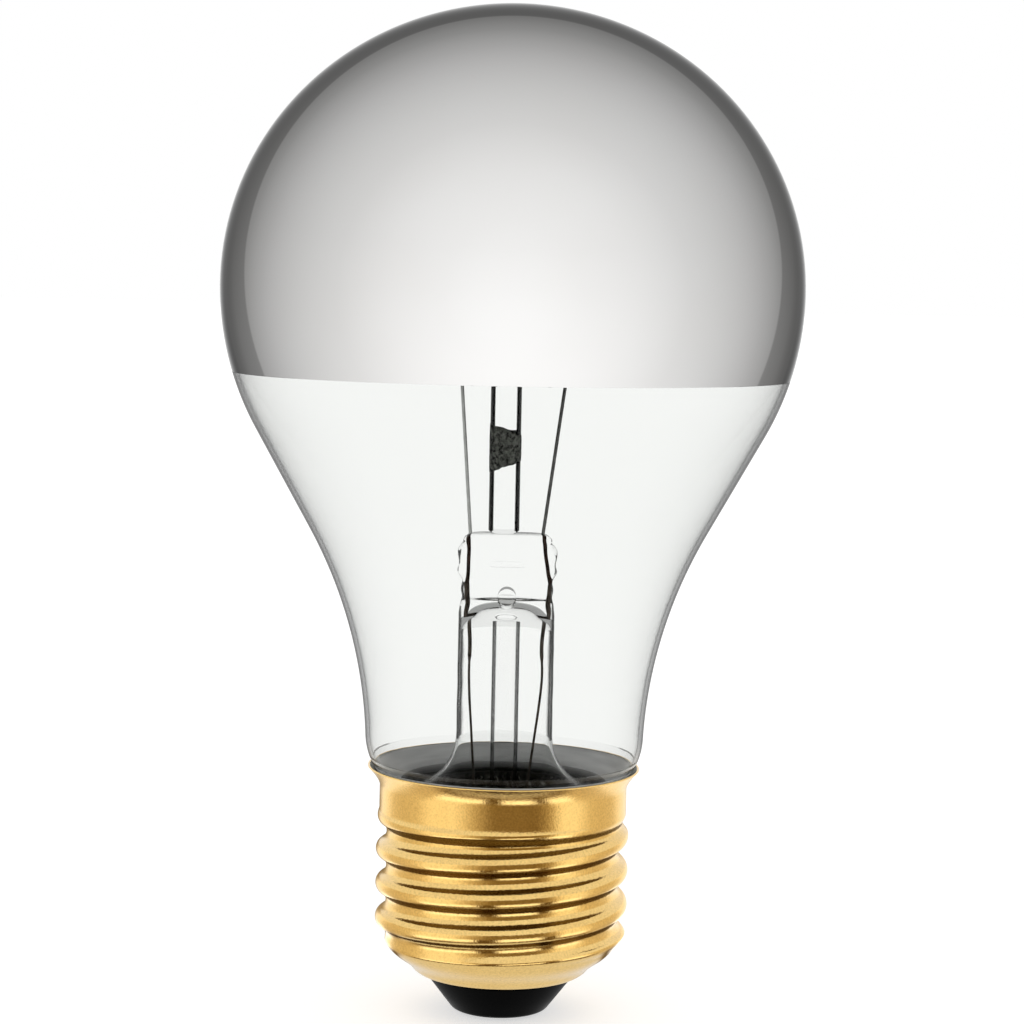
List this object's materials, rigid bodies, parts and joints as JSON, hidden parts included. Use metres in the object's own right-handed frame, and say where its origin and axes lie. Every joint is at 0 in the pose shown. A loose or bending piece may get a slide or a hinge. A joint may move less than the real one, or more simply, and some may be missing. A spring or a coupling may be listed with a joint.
{
  "type": "silver crown light bulb",
  "caption": "Clear pear-shaped filament bulb with a mirrored upper half and a brass screw base, for glare-free indirect light.",
  "frame": {"origin": "centre of the base's end contact, on its flat face, which is also the middle of the bounding box's bottom", "axes": "+Z along the bulb's axis, from the base to the crown; -Y towards the front of the stem, where the exhaust hole is"},
  "size_m": [0.06, 0.06, 0.1046],
  "materials": {
    "clear_glass": "clear, polished",
    "crown_silver": "mirror coat, polished",
    "shell_brass": "satin, faintly grainy",
    "black_vitrite": "black moulded glass",
    "basing_cement": "dark, matt",
    "tinned_contact": "dull tinned metal",
    "solder": "dull solder",
    "nickel_wire": "drawn wire",
    "dumet_seal": "dark oxidised copper sheath",
    "copper_lead": "drawn wire",
    "tungsten": "dark drawn wire",
    "molybdenum_wire": "drawn wire",
    "getter": "grey, matt, mottled"
  },
  "bodies": {
    "root": {"glass_envelope": "clear_glass", "silver_crown": "crown_silver", "stem_flare": "clear_glass", "exhaust_tube": "clear_glass", "arbor_rod": "clear_glass", "getter_band": "getter", "upper_lead_left": "nickel_wire", "upper_lead_right": "nickel_wire", "dumet_seal_left": "dumet_seal", "dumet_seal_right": "dumet_seal", "lower_lead_contact": "copper_lead", "lower_lead_shell": "copper_lead", "filament": "tungsten", "support_wire_left": "molybdenum_wire", "support_wire_front": "molybdenum_wire", "support_wire_right": "molybdenum_wire", "screw_shell": "shell_brass", "basing_cement": "basing_cement", "insulator": "black_vitrite", "centre_contact": "tinned_contact", "contact_solder": "solder", "side_solder": "solder"}
  },
  "joints": []
}
